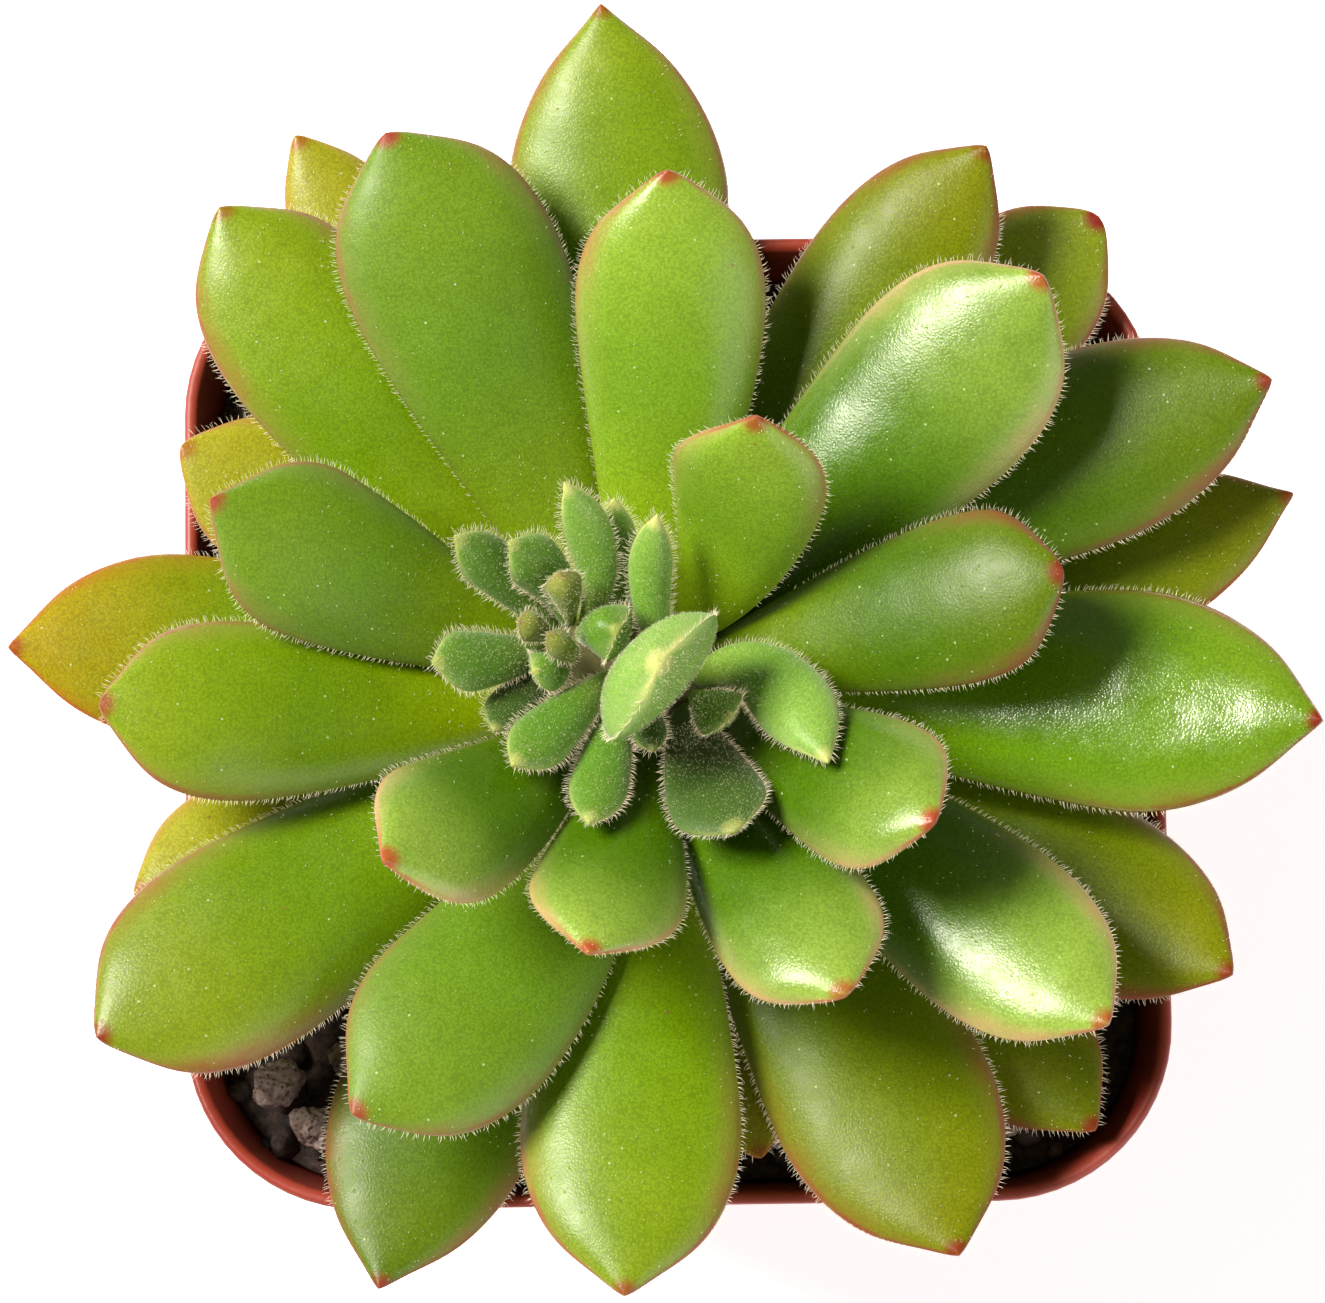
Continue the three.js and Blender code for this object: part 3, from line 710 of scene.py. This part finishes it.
def drill_drains(pot):
    """Cuts the drain holes and keeps the result as the pot's own mesh."""
    place = POT_BASE_WIDTH / 2 - DRAIN_INSET
    work = bmesh.new()
    for sx in (-1, 1):
        for sy in (-1, 1):
            made = bmesh.ops.create_cone(work, cap_ends=True, segments=32, radius1=DRAIN_RADIUS * MM,
                                         radius2=DRAIN_RADIUS * MM, depth=4 * POT_FLOOR * MM)
            bmesh.ops.translate(work, verts=made["verts"],
                                vec=(sx * place * MM, sy * place * MM, POT_FLOOR / 2 * MM))
    mesh = bpy.data.meshes.new("drills")
    work.to_mesh(mesh)
    work.free()
    drills = bpy.data.objects.new("drills", mesh)
    bpy.context.scene.collection.objects.link(drills)
    cut = pot.modifiers.new("drains", "BOOLEAN")
    cut.operation = "DIFFERENCE"
    cut.object = drills
    bpy.context.view_layer.update()
    done = bpy.data.meshes.new_from_object(pot.evaluated_get(bpy.context.evaluated_depsgraph_get()))
    pot.modifiers.clear()
    pot.data = done
    bpy.data.objects.remove(drills)


def pot_material():
    shader = Shader("terracotta_plastic")
    cloud = shader.noise(14.0, 3.0)
    fine = shader.noise(0.5, 2.0)
    colour = shader.mix(shader.ramp(cloud, 0.3, 0.7), linear("8c3224"), linear("983c2c"))
    dust = shader.times(shader.ramp(shader.noise(2.6, 4.0, 0.6), 0.56, 0.75), 0.14)
    colour = shader.mix(dust, colour, linear("b47868"))
    shader.set(Base_Color=colour, Roughness=shader.ramp(cloud, 0.3, 0.7, 0.34, 0.5), IOR=1.46,
               Normal=shader.bump(fine, 0.05, 0.4))
    return shader.material


# ---------------------------------------------------------------- soil and stones


def soil_surface(x, y):
    """Height of the bare soil at a place."""
    place = Vector((x, y, 0))
    reach = max(abs(x), abs(y)) / (POT_TOP_WIDTH / 2)
    mound = SOIL_MOUND * math.cos(min(1.0, reach) * math.pi / 2)
    lumps = 0.5 * noise.noise(place / 2.4) + 0.28 * noise.noise(place / 0.9 + Vector((7, 3, 0)))
    return SOIL_LEVEL + 0.75 * mound + lumps - SOIL_SUNK


def make_soil(material):
    """The bed: up along the pot's wall, then rings of lumpy surface that close on the middle."""
    inset = POT_WALL + SOIL_GAP
    bottom = pot_ring(POT_FLOOR + SOIL_GAP, inset)
    rings = [bottom, pot_ring(20, inset), pot_ring(40, inset)]
    edge = pot_ring(SOIL_LEVEL - 0.6, inset)
    for share in np.linspace(0, 1, SOIL_RINGS)[:-1]:
        ring = []
        for x, y, _ in edge:
            px, py = x * (1 - share), y * (1 - share)
            ring.append((px, py, soil_surface(px, py)))
        rings.append(ring)
    points = [(0, 0, POT_FLOOR + SOIL_GAP)] + [p for ring in rings for p in ring]
    points.append((0, 0, soil_surface(0, 0)))
    soil = mesh_object("potting_soil", points, closed_loft(len(rings), len(bottom)), material)
    settle(soil, "potting_mix", "soil")


def lump_template(levels):
    """A small ball's points and faces, for crumbs to be shaped from."""
    work = bmesh.new()
    bmesh.ops.create_icosphere(work, subdivisions=levels, radius=1.0)
    points = np.array([v.co[:] for v in work.verts])
    faces = [tuple(v.index for v in f.verts) for f in work.faces]
    work.free()
    return points, faces


def turned(points):
    """The points after a random turn."""
    q, _ = np.linalg.qr(random.normal(0, 1, (3, 3)))
    return points @ (q * np.sign(np.linalg.det(q)))


def make_crumbs(material):
    """Loose crumbs of peat, bark and grit over the soil."""
    shape, shape_faces = lump_template(2)
    all_points, all_faces, tones = [], [], []
    reach = POT_TOP_WIDTH / 2 - POT_WALL - CRUMB_MARGIN
    straight = reach - CRUMB_CORNER
    for k in range(CRUMB_TRIES):
        x, y = random.uniform(-reach, reach, 2)
        past_x = abs(x) - straight
        past_y = abs(y) - straight
        if min(past_x, past_y) > 0 and math.hypot(past_x, past_y) > CRUMB_CORNER:
            continue
        if max(abs(x), abs(y)) < CRUMB_FREE:
            continue
        size = CRUMB_SIZE + CRUMB_GROWTH * random.random() ** 3
        stretch = random.uniform(0.6, 1.25, 3)
        bumps = np.array([noise.noise(Vector(p) * 1.6 + Vector((k, 0, 0))) for p in shape])
        body = turned(shape * (1 + CRUMB_BUMPS * bumps)[:, None] * stretch * size)
        height = soil_surface(x, y) + size * 0.25
        first = len(all_points) * len(shape)
        all_points.append(body + (x, y, height))
        all_faces += [tuple(first + i for i in f) for f in shape_faces]
        tones.append(np.full(len(shape), random.random()))
    crumbs = mesh_object("soil_crumbs", np.concatenate(all_points), all_faces, material,
                         {"tone": np.concatenate(tones)})
    settle(crumbs, "potting_mix")


def soil_material():
    shader = Shader("dark_soil")
    tone = shader.attribute("tone")
    mottle = shader.noise(0.7, 4.0, 0.65)
    colour = shader.mix(shader.ramp(mottle, 0.35, 0.7), linear("1a100c"), linear("4a352b"))
    colour = shader.mix(shader.ramp(tone, 0.7, 1.0, 0.0, 0.6), colour, linear("7c6257"))
    shader.set(Base_Color=colour, Roughness=0.85, Normal=shader.bump(mottle, 0.25, 0.8))
    return shader.material


def refined(node, levels):
    """The CAD node's shape, subdivided smoothly: points in millimetres and faces."""
    work = bmesh.new()
    work.from_mesh(nodes[node].data)
    bmesh.ops.remove_doubles(work, verts=work.verts, dist=1e-6)
    mesh = bpy.data.meshes.new("rough_" + node)
    work.to_mesh(mesh)
    work.free()
    holder = bpy.data.objects.new("rough_" + node, mesh)
    bpy.context.scene.collection.objects.link(holder)
    smooth = holder.modifiers.new("smooth", "SUBSURF")
    smooth.levels = levels
    bpy.context.view_layer.update()
    done = holder.evaluated_get(bpy.context.evaluated_depsgraph_get()).to_mesh()
    points = np.array([v.co[:] for v in done.vertices]) / MM
    normals = np.array([v.normal[:] for v in done.vertices])
    faces = [tuple(p.vertices) for p in done.polygons]
    bpy.data.objects.remove(holder)
    return points, normals, faces


def make_stones(material):
    """The CAD stones, bulged and pitted like pumice."""
    for seed, node in enumerate(sorted(n for n in nodes if n.startswith("stone_"))):
        points, normals, faces = refined(node, 4)
        bulge = wander(points, 1.3, 0.5, seed) + wander(points, 0.45, 0.22, seed + 9)
        pits = np.clip(wander(points, 0.32, 1.0, seed + 20) - 0.18, 0, 1) * -0.7
        points = points + normals * (bulge + pits)[:, None]
        stone = mesh_object("pumice_" + node, points, faces, material)
        settle(stone, "pumice", node)


def stone_material():
    shader = Shader("porous_pumice")
    cloud = shader.noise(1.4, 4.0, 0.6)
    pores = shader.cells(0.42).outputs["Distance"]
    colour = shader.mix(shader.ramp(cloud, 0.35, 0.65), linear("745c52"), linear("a08a80"))
    # The middles of the pits are coloured darker: painted shade in the pits.
    colour = shader.mix(shader.ramp(pores, 0.1, 0.3, 0.55, 0.0), colour, linear("3c2c26"))
    pitted = shader.bump(shader.ramp(pores, 0.1, 0.4), 0.2, 0.8)
    shader.set(Base_Color=colour, Roughness=0.9, Normal=pitted)
    return shader.material


def make_stem(material):
    """The CAD stem, with rings where old leaves fell off."""
    points, normals, faces = refined("stem", 4)
    scars = 0.16 * np.sin(points[:, 2] * 2 * math.pi / SCAR_SPACING)
    points = points + normals * (scars + wander(points, 1.5, 0.25, 3))[:, None]
    stem = mesh_object("scarred_stem", points, faces, material)
    settle(stem, "stem_bark", "stem")


def stem_material():
    shader = Shader("stem_bark")
    cloud = shader.noise(1.8, 4.0, 0.6)
    colour = shader.mix(shader.ramp(cloud, 0.3, 0.7), linear("5c5428"), linear("7c7c3c"))
    shader.set(Base_Color=colour, Roughness=0.7, Normal=shader.bump(cloud, 0.2, 0.7))
    return shader.material


# ---------------------------------------------------------------- floor, light and camera

FLOOR_REACH = 3000.0
FLOOR_GLOW = 0.62


def make_floor():
    ends = (-FLOOR_REACH, FLOOR_REACH)
    points = [(x, y, 0) for x in ends for y in ends]
    shader = Shader("pale_floor")
    shader.set(Base_Color=(0.9, 0.9, 0.9, 1), Roughness=0.8,
               Emission_Color=(1, 1, 1, 1), Emission_Strength=FLOOR_GLOW)
    floor = mesh_object("floor", points, [(0, 2, 3, 1)], shader.material)


# The lights, in degrees, metres and watts.
KEY = dict(azimuth=158.0, elevation=51.0, distance=0.8, size=0.3, power=13.0, colour=(1.0, 0.98, 0.94))
FILL = dict(azimuth=-40.0, elevation=30.0, distance=1.0, size=0.8, power=5.5, colour=(1.0, 1.0, 1.0))
SKY_COLOUR = (0.95, 0.97, 1.0, 1.0)
SKY_STRENGTH = 0.14


def area_light(name, azimuth, elevation, distance, size, power, colour):
    """A square soft light aimed at the middle of the rosette."""
    a, e = math.radians(azimuth), math.radians(elevation)
    aim = Vector((0, 0, 1.15 * POT_HEIGHT * MM))
    away = Vector((math.cos(a) * math.cos(e), math.sin(a) * math.cos(e), math.sin(e)))
    light = bpy.data.lights.new(name, "AREA")
    light.size = size
    light.energy = power
    light.color = colour
    lamp = bpy.data.objects.new(name, light)
    lamp.location = aim + away * distance
    lamp.rotation_euler = away.to_track_quat("Z", "Y").to_euler()
    bpy.context.scene.collection.objects.link(lamp)


def make_lights():
    area_light("key", **KEY)
    area_light("fill", **FILL)
    world = bpy.data.worlds.new("studio")
    world.use_nodes = True
    sky = world.node_tree.nodes["Background"]
    sky.inputs["Color"].default_value = SKY_COLOUR
    sky.inputs["Strength"].default_value = SKY_STRENGTH
    bpy.context.scene.world = world
    bpy.context.scene.view_settings.view_transform = "Standard"


# Azimuth and elevation in degrees, distance and lens, and the place at rim height it looks at.
CAMERA_AZIMUTH = -0.8
CAMERA_ELEVATION = 80.0
CAMERA_DISTANCE = 450.0
CAMERA_LENS = 187.4
AIM_X, AIM_Y = -0.72, 4.28


def make_camera():
    a, e = math.radians(CAMERA_AZIMUTH), math.radians(CAMERA_ELEVATION)
    back = Vector((math.sin(a) * math.cos(e), -math.cos(a) * math.cos(e), math.sin(e)))
    data = bpy.data.cameras.new("camera")
    data.sensor_width = 36.0
    data.lens = CAMERA_LENS
    data.clip_start = 0.01
    camera = bpy.data.objects.new("camera", data)
    camera.location = (Vector((AIM_X, AIM_Y, POT_HEIGHT)) + back * CAMERA_DISTANCE) * MM
    camera.rotation_euler = back.to_track_quat("Z", "Y").to_euler()
    bpy.context.scene.collection.objects.link(camera)
    bpy.context.scene.camera = camera


# ---------------------------------------------------------------- assembly

make_camera()
make_leaves()
make_pot(pot_material())
dark_soil = soil_material()
make_soil(dark_soil)
make_crumbs(dark_soil)
make_stones(stone_material())
make_stem(stem_material())
make_floor()
make_lights()
